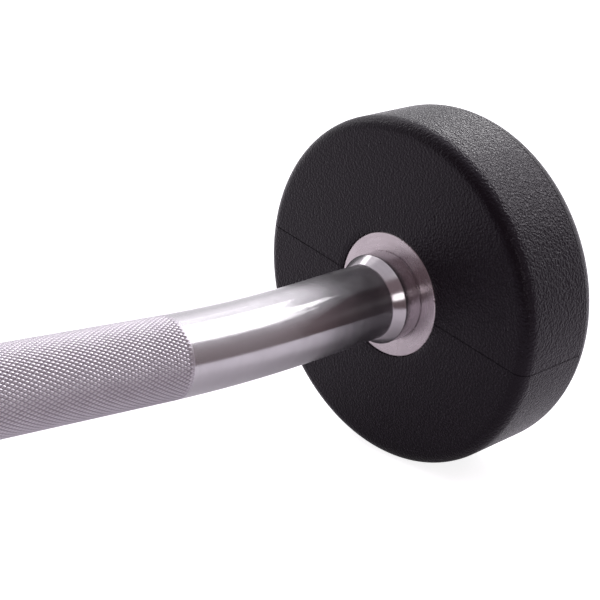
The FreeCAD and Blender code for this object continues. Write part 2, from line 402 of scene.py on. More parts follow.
# %% Tool marks that run round a turned piece
marks_group, given, result = shader_group(
    "turning_marks", {"Lines per mm": 4.0, "Broken up": 3.0}, ["Height", "Sheen"])
on_map = add(marks_group, "ShaderNodeUVMap", {"uv_map": uv_map}).outputs[0]
along, around = separate(marks_group, on_map)[:2]
angle = maths(marks_group, "MULTIPLY", around, math.tau)
lines = maths(marks_group, "MULTIPLY", maths(marks_group, "DIVIDE", along, MM), given["Lines per mm"])
sine = maths(marks_group, "MULTIPLY", maths(marks_group, "SINE", angle), given["Broken up"])
cosine = maths(marks_group, "MULTIPLY", maths(marks_group, "COSINE", angle), given["Broken up"])
path = combine(marks_group, lines, sine, cosine)
value(marks_group, result["Height"], noise(marks_group, path, 1.0, 3.0, 0.6))
slow = vector_maths(marks_group, "MULTIPLY", path, (0.17, 1.0, 1.0))
value(marks_group, result["Sheen"], noise(marks_group, slow, 1.0))
print("effect built:", marks_group.name)

# %% [markdown]
# A moulded skin copies the sand-blasted wall of its mould. A soft noise gives pebbles of uneven
# size, and a finer noise breaks them up. At another size the same group is a casting's skin.

# %% Grain of a moulded or cast skin
crumbs_per_pebble = 2.3
patches_per_mm = 0.06

grain_group, given, result = shader_group(
    "pebbled_grain", {"Pebble mm": 1.0, "Fine share": 0.4}, ["Height", "Patches"])
in_mm = object_mm(grain_group)
per_pebble = maths(grain_group, "DIVIDE", 1.0, given["Pebble mm"])
pebbles = noise(grain_group, in_mm, per_pebble, 0.0)
crumbs = noise(grain_group, in_mm, maths(grain_group, "MULTIPLY", per_pebble, crumbs_per_pebble), 0.0)
finer = maths(grain_group, "SUBTRACT", crumbs, pebbles)
mixed = maths(grain_group, "ADD", pebbles, maths(grain_group, "MULTIPLY", finer, given["Fine share"]))
value(grain_group, result["Height"], spread(grain_group, mixed, 0.3, 0.7))
value(grain_group, result["Patches"], noise(grain_group, in_mm, patches_per_mm, 3.0))
print("effect built:", grain_group.name)

# %% [markdown]
# An air bubble caught against the mould leaves a round pit. A Voronoi texture scatters points
# evenly through space, and a pit shows wherever the surface passes very near one of them. Since
# most points lie off the surface, only a few pits are seen, as on the real skin.

# %% Stray pits
pit_group, given, result = shader_group("stray_pits", {"Apart mm": 6.0, "Pit mm": 0.9}, ["Depth"])
per_pit = maths(pit_group, "DIVIDE", 1.0, given["Apart mm"])
scatter = add(pit_group, "ShaderNodeTexVoronoi", Vector=object_mm(pit_group), Scale=per_pit)
away = maths(pit_group, "MULTIPLY", scatter.outputs["Distance"], given["Apart mm"])
pit_radius = maths(pit_group, "DIVIDE", given["Pit mm"], 2.0)
inside = maths(pit_group, "SUBTRACT", 1.0, maths(pit_group, "DIVIDE", away, pit_radius), clamp=True)
value(pit_group, result["Depth"], maths(pit_group, "POWER", inside, 0.5))
print("effect built:", pit_group.name)

# %% [markdown]
# Hands leave a thin film that is never even. A soft noise with patches a finger wide stands for
# it, and lets each metal drift a little in tone and shine.

# %% Clouding from handling
cloud_group, given, result = shader_group("handling", {"Patch mm": 14.0}, ["Clouding"])
per_patch = maths(cloud_group, "DIVIDE", 1.0, given["Patch mm"])
clouds = noise(cloud_group, object_mm(cloud_group), per_patch, 4.0, 0.55)
value(cloud_group, result["Clouding"], spread(cloud_group, clouds, 0.35, 0.65))
print("effect built:", cloud_group.name)


# %% [markdown]
# ## Materials
#
# Each material starts the same way: a Principled shader whose constant values are set on its own
# sockets. What varies over the surface is linked in afterwards: a colour that drifts between two
# close tones, a roughness that follows the marks, and a height that feeds a Bump node.

# %% Start a material
def new_material(name, **constants):
    """A material with its Principled shader, and the shader's constant values."""
    material = bpy.data.materials.new(name)
    material.use_nodes = True
    shader = material.node_tree.nodes["Principled BSDF"]
    for label, constant in constants.items():
        shader.inputs[label.replace("_", " ")].default_value = constant
    return material, material.node_tree, shader.inputs


def effect(tree, group, **settings):
    """One of the shared effects, placed in a material with its own values."""
    return add(tree, "ShaderNodeGroup", {"node_tree": group}, **settings).outputs


def bump(tree, shader, height, depth):
    """A height in shares of the depth, in metres, made into a normal."""
    node = add(tree, "ShaderNodeBump", Distance=depth, Height=height)
    value(tree, shader["Normal"], node.outputs[0])


# %% [markdown]
# ### Steel
#
# The bar is ground and polished round its length, so its shine is tight across the bar and drawn
# out along it. The hub and the collar come straight off the lathe with clear circular marks.
# Stretched shine is the Principled shader's Anisotropic value, and the Tangent node tells it
# which way to stretch. Handled steel also carries a thin film of oil and dust. It is told to the
# shader as a metallic value a little under one, which adds the faint veil that such steel shows
# where it mirrors something black.

# %% Steels of the bar, the hub and the collar
def turned_steel(name, dark, light, roughness, stretch, lines, depth, film=0.05, broken=3.0):
    """Bare steel with tool marks round it."""
    material, tree, shader = new_material(name, Anisotropic=stretch)
    marks = effect(tree, marks_group, Lines_per_mm=lines, Broken_up=broken)
    clouding = effect(tree, cloud_group)[0]
    tone = maths(tree, "MULTIPLY_ADD", marks["Sheen"], 0.6, maths(tree, "MULTIPLY", clouding, 0.4))
    colour = blend(tree, spread(tree, tone, 0.3, 0.7), dark, light)
    value(tree, shader["Base Color"], colour)
    rough = spread(tree, tone, 0.3, 0.7, roughness * 1.12, roughness * 0.88)
    value(tree, shader["Roughness"], rough)
    cleaned = spread(tree, clouding, 0.0, 1.0, 1 - 1.2 * film, 1 - 0.8 * film)
    value(tree, shader["Metallic"], cleaned)
    bump(tree, shader, marks["Height"], depth)
    way_round = add(tree, "ShaderNodeTangent", {"direction_type": "UV_MAP", "uv_map": uv_map})
    value(tree, shader["Tangent"], way_round.outputs[0])
    return material


bar_polish = turned_steel(
    "bar_polish", (0.64, 0.613, 0.645), (0.68, 0.653, 0.685),
    roughness=0.175, stretch=1.0, lines=2.0, depth=0.001 * MM, film=0.03)
collar_turning = turned_steel(
    "collar_turning", (0.53, 0.49, 0.52), (0.57, 0.53, 0.56),
    roughness=0.20, stretch=0.7, lines=6.0, depth=0.001 * MM, film=0.03, broken=1.0)
hub_facing = turned_steel(
    "hub_facing", (0.52, 0.455, 0.482), (0.56, 0.495, 0.522),
    roughness=0.27, stretch=0.92, lines=5.0, depth=0.001 * MM, film=0.03, broken=1.0)
cap_facing = turned_steel(
    "cap_facing", (0.50, 0.47, 0.48), (0.62, 0.58, 0.59),
    roughness=0.40, stretch=0.95, lines=3.0, depth=0.003 * MM)
print("steels:", bar_polish.name, collar_turning.name, hub_facing.name, cap_facing.name)

# %% [markdown]
# A knurl catches the light on the tops of its diamonds and hides dirt in its grooves. The tree
# that makes the bar leaves the height of every grid point on the mesh as an attribute, and this
# finish reads it: dark and dull at the bottom of a groove, bare and bright on a top. The dark in
# the grooves is partly that dirt and partly painted shade.

# %% Knurled steel
knurl_height = "KnurlHeight"

knurl_finish, tree, shader = new_material("knurl_finish")
height = add(tree, "ShaderNodeAttribute", {"attribute_name": knurl_height}).outputs["Fac"]
grain = effect(tree, grain_group, Pebble_mm=0.25, Fine_share=0.5)
clouding = effect(tree, cloud_group, Patch_mm=9.0)[0]
bare = blend(tree, clouding, (0.645, 0.602, 0.654), (0.708, 0.665, 0.717))
# The groove colour is dirt and painted shade together: the deeper a point lies in a groove, the darker it
# is.
groove_dirt_and_shade = spread(tree, height, 0.15, 0.80)
value(tree, shader["Base Color"], blend(tree, groove_dirt_and_shade, (0.38, 0.34, 0.389), bare))
worn = maths(tree, "MULTIPLY_ADD", groove_dirt_and_shade, -0.16, 0.46)
value(tree, shader["Roughness"], maths(tree, "MULTIPLY_ADD", grain["Height"], 0.08, worn))
value(tree, shader["Metallic"], spread(tree, groove_dirt_and_shade, 0.0, 1.0, 0.80, 0.97))
bump(tree, shader, grain["Height"], 0.008 * MM)
print("finish built:", knurl_finish.name)

# %% [markdown]
# ### Urethane
#
# The heads are black urethane moulded against a blasted steel wall. The colour is close to black
# with a hint of purple, and nearly all of what the eye sees is the sparkle of the grain, so most
# of the work is in the bump and in a roughness that changes from pebble to pebble. The side was
# blasted coarser than the face, and it rubs on the rack, so its grain is deeper. It is a little
# greyer too, partly from that rubbing and partly as painted light that stands in for the lamps
# lighting the side. The distance from the axis tells the two apart.

# %% Black moulded urethane
side_wear_and_light_from = head_radius - 1.5 * MM
side_wear_and_light_to = head_radius - 0.2 * MM
face_grain_share = 0.6

urethane_skin, tree, shader = new_material(
    "urethane_skin", Specular_IOR_Level=0.18, Specular_Tint=(0.98, 0.87, 1.0, 1))
grain = effect(tree, grain_group, Pebble_mm=0.95, Fine_share=0.3)
pits = effect(tree, pit_group, Apart_mm=6.5, Pit_mm=1.4)
y, z = separate(tree, object_place(tree))[1:]
squares = maths(tree, "MULTIPLY_ADD", y, y, maths(tree, "MULTIPLY", z, z))
from_axis = maths(tree, "SQRT", squares)
side_wear_and_light = spread(tree, from_axis, side_wear_and_light_from, side_wear_and_light_to)
black = blend(tree, grain["Patches"], (0.006, 0.0042, 0.0066), (0.010, 0.0075, 0.0108))
# The side's greyer colour is partly wear and partly painted light, a lift that stands in for the light
# falling on the side.
value(tree, shader["Base Color"], blend(tree, side_wear_and_light, black, (0.018, 0.0149, 0.0201)))
value(tree, shader["Roughness"], spread(tree, grain["Height"], 0.1, 0.9, 0.30, 0.22))
dented = maths(tree, "SUBTRACT", maths(tree, "MULTIPLY", grain["Height"], 0.5), pits["Depth"])
deeper = maths(tree, "MULTIPLY_ADD", side_wear_and_light, 1 - face_grain_share, face_grain_share)
bump(tree, shader, maths(tree, "MULTIPLY", dented, deeper), 0.42 * MM)
print("finish built:", urethane_skin.name)

# %% [markdown]
# ### Finishes inside the head
#
# The core, the key, the washers and the bolt are out of sight until the head is taken apart.
# Their CAD shapes are right as they are, so each one keeps its mesh and only gets the finish
# that such a piece has: a primed casting, ground key steel, zinc plating and black oxide.

# %% Finishes of the hidden pieces
def plain_steel(name, dark, light, low, high, pebble, depth, metallic=1.0):
    """A metal whose roughness and surface follow one grain, and whose tone is clouded."""
    material, tree, shader = new_material(name, Metallic=metallic)
    grain = effect(tree, grain_group, Pebble_mm=pebble)
    clouding = effect(tree, cloud_group)[0]
    value(tree, shader["Base Color"], blend(tree, clouding, dark, light))
    value(tree, shader["Roughness"], spread(tree, grain["Height"], 0.3, 0.7, low, high))
    bump(tree, shader, grain["Height"], depth)
    return material


primed_casting = plain_steel(
    "primed_casting", (0.10, 0.10, 0.11), (0.17, 0.17, 0.18),
    low=0.55, high=0.80, pebble=1.4, depth=0.25 * MM, metallic=0.2)
ground_key = plain_steel(
    "ground_key", (0.40, 0.40, 0.41), (0.50, 0.50, 0.51),
    low=0.25, high=0.40, pebble=0.5, depth=0.01 * MM)
zinc_plate = plain_steel(
    "zinc_plate", (0.48, 0.49, 0.52), (0.58, 0.59, 0.61),
    low=0.25, high=0.45, pebble=0.8, depth=0.01 * MM)
black_oxide = plain_steel(
    "black_oxide", (0.035, 0.035, 0.040), (0.06, 0.06, 0.065),
    low=0.30, high=0.45, pebble=0.6, depth=0.01 * MM)

hidden_pieces = {
    "weight_core": primed_casting,
    "key": ground_key,
    "end_washer": zinc_plate,
    "lock_washer": zinc_plate,
    "head_bolt": black_oxide,
}
for part, finish in hidden_pieces.items():
    for side in sides:
        slots = nodes[f"{side}_{part}"].data.materials
        slots.clear()
        slots.append(finish)
print("hidden pieces finished:", 2 * len(hidden_pieces))

# %% [markdown]
# ## The bar
#
# The bar is bent in one plane, and every stretch of it is either straight or part of a circle.
# Its middle line is drawn as a chain of short edges, short enough that the bends stay true. A
# Geometry Nodes tree turns the chain into a curve and wraps a grid of points round it. The chain
# is only a guide, so it is removed once the tree has run.

# %% Middle line of the right half
def middle_line(step=MM):
    """Points of the bar's middle line from the middle to the shoulder."""
    point, heading = Vector((0, 0, 0)), 0.0
    points = [point.copy()]
    for length, turn in centre_line:
        count = max(1, round(length / step))
        for number in range(count):
            middle = heading + turn / count / 2
            chord = length / count
            if turn:
                chord *= math.sin(turn / count / 2) / (turn / count / 2)
            point = point + Vector((math.cos(middle), 0, math.sin(middle))) * chord
            heading += turn / count
            points.append(point.copy())
    points.append(point + Vector((shoulder_inset, 0, 0)))
    lift = Vector((0, 0, -point.z))
    return [p + lift for p in points]


line_points = middle_line()
guide = bpy.data.meshes.new("middle_line")
guide.from_pydata(line_points, [(n, n + 1) for n in range(len(line_points) - 1)], [])
print("the bar's middle lies", round(line_points[0].z / MM, 2), "mm from the heads' axis, its end at",
      round(line_points[-1].x / MM, 2), "mm")

# %% [markdown]
# Knurling is two sets of grooves that a hardened wheel presses in at plus and minus thirty
# degrees, and what is left between them is a field of small diamonds. With the diamonds counted
# round the bar and along it, a groove lies wherever the sum or the difference of the two counts
# is a whole number, so the height at any point is the smaller of the distances to the two
# nearest grooves. The grid has four points to each diamond both ways, so its points fall exactly
# on the grooves, the flanks and the peaks. The peaks are a little flattened, as wear and the
# wheel leave them, and at the band's two ends the grooves run out over a short length.

# %% Heights of the knurl, as a node tree
def knurl(tree, u, along, given):
    """The height, from 0 in a groove to 1 on a peak, and the radius at a grid point."""
    round_count = maths(tree, "MULTIPLY", u, given["Diamonds Round"])
    from_start = maths(tree, "SUBTRACT", along, given["Start"])
    cells = maths(tree, "DIVIDE", from_start, given["Cell Length"])
    distances = []
    for operation in ("ADD", "SUBTRACT"):
        groove = maths(tree, "FRACT", maths(tree, operation, round_count, cells))
        folded = maths(tree, "ABSOLUTE", maths(tree, "MULTIPLY_ADD", groove, 2.0, -1.0))
        distances.append(maths(tree, "SUBTRACT", 1.0, folded))
    nearest = maths(tree, "MINIMUM", *distances)
    steep = maths(tree, "MULTIPLY", nearest, maths(tree, "MULTIPLY", given["Flank Height"], 2.0))
    flat = maths(tree, "MULTIPLY_ADD", maths(tree, "SUBTRACT", nearest, 1.0),
                 maths(tree, "MULTIPLY_ADD", given["Flank Height"], -2.0, 2.0), 1.0)
    height = maths(tree, "MINIMUM", steep, flat)
    depth = maths(tree, "MULTIPLY", maths(tree, "SUBTRACT", 1.0, height), given["Groove Depth"])
    end = maths(tree, "ADD", given["Start"], given["Length"])
    from_end = maths(tree, "SUBTRACT", end, along)
    to_end = maths(tree, "MINIMUM", from_start, from_end)
    inside = maths(tree, "DIVIDE", to_end, given["Run Out"], clamp=True)
    lifted = maths(tree, "MULTIPLY", maths(tree, "SUBTRACT", 1.0, inside), given["Groove Depth"])
    cut = maths(tree, "SUBTRACT", maths(tree, "SUBTRACT", depth, given["Peak Height"]), lifted)
    least = maths(tree, "MULTIPLY", maths(tree, "MULTIPLY", given["Peak Height"], inside), -1.0)
    return height, maths(tree, "SUBTRACT", given["Radius"], maths(tree, "MAXIMUM", cut, least))


# %% [markdown]
# One node group makes one stretch of the bar, plain or knurled. Grid points are placed by
# sampling the middle line at the right distance along it and stepping out at the right angle.
# Knurled faces are split along their shorter diagonal, which is always the one that lies in a
# groove. The edges in the grooves are marked sharp and all the rest stay smooth, so every
# diamond is a worn little dome with a crisp outline, and catches each lamp in one bright dot.

# %% Start a geometry tree
points_per_diamond = 4
cell_length = 2.72 * MM
groove_level = 0.05

bar_inputs = [
    ("Radius", "Float", grip_radius),
    ("Diamonds Round", "Int", 60),
    ("Groove Depth", "Float", 0.40 * MM),
    ("Peak Height", "Float", 0.05 * MM),
    ("Flank Height", "Float", 0.84),
    ("Run Out", "Float", 1.6 * MM),
]
stretch_inputs = [
    ("Start", "Float", 0.0),
    ("Length", "Float", 0.1),
    ("Rows", "Int", 10),
    ("Cell Length", "Float", cell_length),
    ("Knurled", "Bool", False),
    ("Finish", "Material", None),
]


def geometry_tree(name, inputs):
    """A geometry tree with named inputs: (label, kind, start value)."""
    tree = bpy.data.node_groups.new(name, "GeometryNodeTree")
    tree.interface.new_socket("Geometry", in_out="INPUT", socket_type="NodeSocketGeometry")
    for label, kind, start in inputs:
        socket = tree.interface.new_socket(label, in_out="INPUT", socket_type="NodeSocket" + kind)
        if start is not None:
            socket.default_value = start
    tree.interface.new_socket("Geometry", in_out="OUTPUT", socket_type="NodeSocketGeometry")
    entry = tree.nodes.new("NodeGroupInput")
    result = tree.nodes.new("NodeGroupOutput")
    return tree, entry.outputs, result.inputs


# %% Points of one stretch of the bar
stretch, given, result = geometry_tree("bar_stretch", bar_inputs + stretch_inputs)
columns = maths(stretch, "MULTIPLY_ADD", given["Diamonds Round"], points_per_diamond, 1.0)
rows = maths(stretch, "ADD", given["Rows"], 1.0)
grid = add(stretch, "GeometryNodeMeshGrid", Vertices_X=columns, Vertices_Y=rows)
across, down = separate(stretch, add(stretch, "GeometryNodeInputPosition").outputs[0])[:2]
u = maths(stretch, "ADD", across, 0.5)
along = maths(stretch, "MULTIPLY_ADD", maths(stretch, "ADD", down, 0.5), given["Length"], given["Start"])
sample = add(stretch, "GeometryNodeSampleCurve", {"mode": "LENGTH", "use_all_curves": True},
             Curves=given["Geometry"], Length=along)
outwards = vector_maths(stretch, "CROSS_PRODUCT", sample.outputs["Tangent"], (0.0, 1.0, 0.0))
outwards = vector_maths(stretch, "NORMALIZE", outwards, (0.0, 0.0, 0.0))
turn = maths(stretch, "MULTIPLY", u, math.tau)
up_part = vector_maths(stretch, "SCALE", outwards, maths(stretch, "COSINE", turn))
side_part = vector_maths(stretch, "SCALE", (0.0, -1.0, 0.0), maths(stretch, "SINE", turn))
direction = vector_maths(stretch, "ADD", up_part, side_part)
height, knurled_radius = knurl(stretch, u, along, given)
choice = add(stretch, "GeometryNodeSwitch", {"input_type": "FLOAT"})
radius = filled(stretch, choice, given["Knurled"], given["Radius"], knurled_radius)
step_out = vector_maths(stretch, "SCALE", direction, radius)
target = vector_maths(stretch, "ADD", sample.outputs["Position"], step_out)

# %% Map, place and finish the stretch
mapped = add(stretch, "GeometryNodeStoreNamedAttribute", {"data_type": "FLOAT2", "domain": "CORNER"},
             Geometry=grid.outputs["Mesh"], Name=uv_map, Value=combine(stretch, along, u, 0.0))
graded = add(stretch, "GeometryNodeStoreNamedAttribute",
             Geometry=mapped.outputs[0], Name=knurl_height, Value=height)
placed = add(stretch, "GeometryNodeSetPosition", Geometry=graded.outputs[0], Position=target)
split = add(stretch, "GeometryNodeTriangulate", {"quad_method": "SHORTEST_DIAGONAL"},
            Mesh=placed.outputs[0], Selection=given["Knurled"])
rounded = add(stretch, "GeometryNodeSetShadeSmooth", Geometry=split.outputs[0])
level = add(stretch, "GeometryNodeInputNamedAttribute", Name=knurl_height)
in_groove = maths(stretch, "LESS_THAN", level.outputs["Attribute"], groove_level)
shaded = add(stretch, "GeometryNodeSetShadeSmooth", {"domain": "EDGE"}, Geometry=rounded.outputs[0],
             Selection=maths(stretch, "MULTIPLY", in_groove, given["Knurled"]), Shade_Smooth=False)
finished = add(stretch, "GeometryNodeSetMaterial", Geometry=shaded.outputs[0], Material=given["Finish"])
value(stretch, result["Geometry"], finished.outputs[0])
print("tree built:", stretch.name, "with", len(stretch.nodes), "nodes")

# %% [markdown]
# The half bar is five stretches in a row: plain, inner grip, plain, outer grip, plain. The
# distance between rows is free on the plain stretches and a quarter of a diamond on the knurled
# ones. Neighbouring stretches share their end rows, which are merged, and so is the line where
# each grid meets itself.

# %% Stretches of the half bar
plain_spacing = 4 * MM
weld_distance = 0.01 * MM
inner_start = sum(length for length, turn in centre_line[:2])
inner_middle = inner_start + inner_grip_length / 2
outer_end = half_length - knurl_start
stops = [
    0.0,
    inner_middle - inner_knurl_length / 2,
    inner_middle + inner_knurl_length / 2,
    outer_end - outer_knurl_length,
    outer_end,
    half_length + shoulder_inset,
]

half_tree, given, result = geometry_tree(
    "half_bar", bar_inputs + [("Plain Finish", "Material", None), ("Knurl Finish", "Material", None)])
as_curve = add(half_tree, "GeometryNodeMeshToCurve", Mesh=given["Geometry"])
joined = add(half_tree, "GeometryNodeJoinGeometry")
for number, (start, end) in enumerate(zip(stops, stops[1:])):
    knurled = number % 2 == 1
    cells = round((end - start) / cell_length)
    rows = points_per_diamond * cells if knurled else round((end - start) / plain_spacing)
    node = add(half_tree, "GeometryNodeGroup", {"node_tree": stretch}, Geometry=as_curve.outputs[0],
               Start=start, Length=end - start, Rows=rows, Cell_Length=(end - start) / cells,
               Knurled=knurled, Finish=given["Knurl Finish" if knurled else "Plain Finish"])
    for label, kind, first in bar_inputs:
        value(half_tree, node.inputs[label], given[label])
    value(half_tree, joined.inputs[0], node.outputs[0])
    print("stretch", number + 1, "knurled" if knurled else "plain", "rows:", rows,
          "length:", round((end - start) / MM, 1), "mm")
merged = add(half_tree, "GeometryNodeMergeByDistance", Geometry=joined.outputs[0], Distance=weld_distance)
real = add(half_tree, "GeometryNodeRealizeInstances", Geometry=merged.outputs[0])
value(half_tree, result["Geometry"], real.outputs[0])


# %% [markdown]
# A modifier's inputs are set by the identifiers of their sockets. The result is read from the
# evaluated object as a plain mesh, and the modifier and its guide are then thrown away. Each
# open end of the tube is closed by a flat disc.

# %% Run a geometry tree
def evaluated_mesh(carrier):
    """The plain mesh that an object's modifiers make of it. The object is then removed."""
    graph = bpy.context.evaluated_depsgraph_get()
    mesh = bpy.data.meshes.new_from_object(carrier.evaluated_get(graph), depsgraph=graph)
    bpy.data.objects.remove(carrier)
    return mesh


def made_by(tree, mesh, **inputs):
    """The plain mesh that a tree makes from a mesh."""
    carrier = bpy.data.objects.new("carrier", mesh)
    bpy.context.scene.collection.objects.link(carrier)
    modifier = carrier.modifiers.new(tree.name, "NODES")
    modifier.node_group = tree
    for item in tree.interface.items_tree:
        label = item.name.replace(" ", "_")
        if item.in_out == "INPUT" and label in inputs:
            modifier[item.identifier] = inputs[label]
    carrier.update_tag()
    result = evaluated_mesh(carrier)
    if result.materials and result.materials[0] is None:
        result.materials.pop(index=0)
    return result


half_bar = made_by(half_tree, guide, Plain_Finish=bar_polish, Knurl_Finish=knurl_finish)
print("half bar:", len(half_bar.vertices), "vertices,", [m.name for m in half_bar.materials])

# %% Close the half bar's two ends
made = bmesh.new()
made.from_mesh(half_bar)
rims = [edge for edge in made.edges if edge.is_boundary]
discs = bmesh.ops.holes_fill(made, edges=rims, sides=0)["faces"]
plain_index = list(half_bar.materials).index(bar_polish)
for face in discs:
    face.smooth = False
    face.material_index = plain_index
made.to_mesh(half_bar)
open_edges = sum(edge.is_boundary for edge in made.edges)
made.free()
print("discs added:", len(discs), "open edges left:", open_edges)

for side in sides:
    show(half_bar.copy(), side, "half_of_bar", "curl_bar")
print("each half:", triangle_count(half_bar), "triangles")

# %% [markdown]
# ## The turned ends of the bar
#
# Inside each head the bar is turned down, drilled and tapped for the retaining bolt, and has a
# seat milled along its top for the key. The seat and the hub's keyway are cut with the exact
# Boolean, which is the Blender tool nearest to a milling cutter.

# %% Boolean cuts
def cut_from(mesh, cutter):
    """The mesh with another mesh cut out of it. Both are closed."""
    piece = bpy.data.objects.new("blank", mesh)
    tool = bpy.data.objects.new("cutter", cutter)
    bpy.context.scene.collection.objects.link(piece)
    bpy.context.scene.collection.objects.link(tool)
    modifier = piece.modifiers.new("cut", "BOOLEAN")
    modifier.operation = "DIFFERENCE"
    modifier.solver = "EXACT"
    modifier.object = tool
    result = evaluated_mesh(piece)
    bpy.data.objects.remove(tool)
    result.set_sharp_from_angle(angle=math.radians(sharp_corner))
    return result


def prism(corners, rise, name):
    """A closed body: a flat face with the given corners, drawn out by the rise."""
    made = bmesh.new()
    floor = made.faces.new([made.verts.new(corner) for corner in corners])
    raised = bmesh.ops.extrude_face_region(made, geom=[floor])["geom"]
    moved = [v for v in raised if isinstance(v, bmesh.types.BMVert)]
    bmesh.ops.translate(made, verts=moved, vec=rise)
    bmesh.ops.recalc_face_normals(made, faces=made.faces)
    return mesh_from(made, name)


def slot_cutter(width, start, length, bottom, top, end_steps=0):
    """A milled slot along X. Its ends are square, or round when they are given steps."""
    half = width / 2
    outline = []
    for end, sign in ((start, -1), (start + length, 1)):
        if end_steps == 0:
            outline += [(end, sign * half), (end, -sign * half)]
            continue
        for step in range(end_steps + 1):
            turn = math.pi * step / end_steps
            x = end - sign * half + sign * half * math.sin(turn)
            outline.append((x, sign * half * math.cos(turn)))
    return prism([(x, y, bottom) for x, y in outline], (0, 0, top - bottom), "slot")


# %% Turned end with its tapped hole and key seat
key_width = 8 * MM
key_seat = 9 * MM
key_start = 3.3 * MM
key_length = 13.1 * MM
tapped_radius = 6.1 * MM
hole_floor = 1 * MM
drill_point = 1 * MM
end_chamfer = 1 * MM
edge_ease = 0.15 * MM
spigot_columns = 120

spigot_outline = [
    (shoulder_inset + push_gap, 0),
    (shoulder_inset + push_gap, spigot_radius),
    (spigot_end - end_chamfer, spigot_radius),
    (spigot_end, spigot_radius - end_chamfer),
    (spigot_end, tapped_radius),
    (shoulder_inset + hole_floor + drill_point, tapped_radius),
    (shoulder_inset + hole_floor, 0),
]
spigot = mesh_from(spin(spigot_outline, spigot_columns), "bar_end")
seat = slot_cutter(key_width, key_start, key_length, key_seat, 2 * spigot_radius, end_steps=16)
both_ends(cut_from(spigot, seat), "bar_end", "curl_bar", bar_polish)

# %% [markdown]
# ## Hub and collar
#
# The bright ring in the head's face is the flange of a turned bush. It sits a hair below the
# urethane, and its outer corner has a narrow bevel that has picked up a few nicks from the
# rack. The nicks are real dents in the mesh, placed by a seeded random draw, and an extra ring
# of the outline keeps them from reaching far into the face.

# %% Hub blank
flange_bevel = 0.5 * MM
bush_end = 19.7 * MM
hub_bore = spigot_radius + push_gap
nick_limit = 2.5 * flange_bevel
hub_columns = 720

hub_outline = eased([
    (shoulder_inset, hub_bore),
    (shoulder_inset, flange_radius - nick_limit),
    (shoulder_inset, flange_radius - flange_bevel),
    (shoulder_inset + flange_bevel, flange_radius),
    (inner_skin, flange_radius),
    (inner_skin, bush_radius),
    (bush_end, bush_radius),
    (bush_end, hub_bore),
], edge_ease)
hub_blank = spin(hub_outline, hub_columns)

# %% Nicks and keyway of the hub
nick_count = 16
nick_widths_mm = (0.25, 0.7)
nick_depths_mm = (0.04, 0.14)
nick_slant_share = 0.6
nick_zone = 1.5 * flange_bevel
keyway_start = -5 * MM
keyway_length = 30 * MM
keyway_top = 16.3 * MM

dents = random.Random(7)
nicks = []
for number in range(nick_count):
    angle = dents.uniform(0, math.tau)
    nicks.append((angle, dents.uniform(*nick_widths_mm) * MM, dents.uniform(*nick_depths_mm) * MM))
for vertex in hub_blank.verts:
    radius = math.hypot(vertex.co.y, vertex.co.z)
    if radius < flange_radius - nick_zone or vertex.co.x > shoulder_inset + nick_zone:
        continue
    angle = math.atan2(-vertex.co.y, vertex.co.z) % math.tau
    for middle, width, depth in nicks:
        away = abs(angle - middle) * flange_radius / width
        if away < 2:
            press = depth * math.exp(-away * away * 2)
            vertex.co.x += press * nick_slant_share
            vertex.co.y *= 1 - press * nick_slant_share / radius
            vertex.co.z *= 1 - press * nick_slant_share / radius
keyway = slot_cutter(key_width, keyway_start, keyway_length, 0, keyway_top)
hub_mesh = cut_from(mesh_from(hub_blank, "hub"), keyway)
both_ends(hub_mesh, "hub", "hub", hub_facing)

# %% [markdown]
# The collar is a plain ring with a long taper on the side of the hand. Its base has a small
# relief cut round it, which is why a thin dark line shows where it meets the hub.

# %% Collar
collar_bore = grip_radius + push_gap
collar_lip = 0.2 * MM
base_relief = 0.4 * MM
relief_corner = 0.1 * MM
collar_columns = 480

collar_outline = eased([
    (shoulder_inset, collar_bore),
    (shoulder_inset, collar_radius - base_relief),
    (shoulder_inset - base_relief + relief_corner, collar_radius - base_relief),
    (shoulder_inset - base_relief, collar_radius),
    (-collar_reach, collar_radius),
    (-collar_nose, grip_radius + collar_lip),
    (-collar_nose, collar_bore),
], edge_ease)
collar_mesh = mesh_from(spin(collar_outline, collar_columns), "collar")
both_ends(collar_mesh, "collar", "collar", collar_turning)

# %% [markdown]
# ## The moulded head
#
# The cover is urethane poured round the core in a mould of several parts. Where they met it keeps
# two fine lines: one round the side, just past the start of the outer rounding, and one straight
# across the inner face and down both sides. The first is part of the outline that is spun: two
# lips with a flat bottom between them. For the second, the columns of the spun mesh that lie
# next to the line are drawn in beside it, at the same distance whatever the radius, and the
# middle ones are pushed in along their normals.

# %% Outline of the head, with the parting line's place in it
parting_rise = math.degrees(math.asin(parting_past_bend / outer_edge_radius))
line_half = math.degrees(math.asin(seam_width / 2 / outer_edge_radius))
groove_floor_share = 0.5
groove_half = line_half * groove_floor_share
far_along = head_thickness - outer_edge_radius
far_radius = head_radius - outer_edge_radius
cap_gap = 0.5 * MM
cap_hole = cap_radius + cap_gap
hub_hole = flange_radius + push_gap
rim_ease = 0.35 * MM
rim_corner = 0.3 * rim_ease
ring_spacing = 3 * MM
cavity = core_radius + push_gap

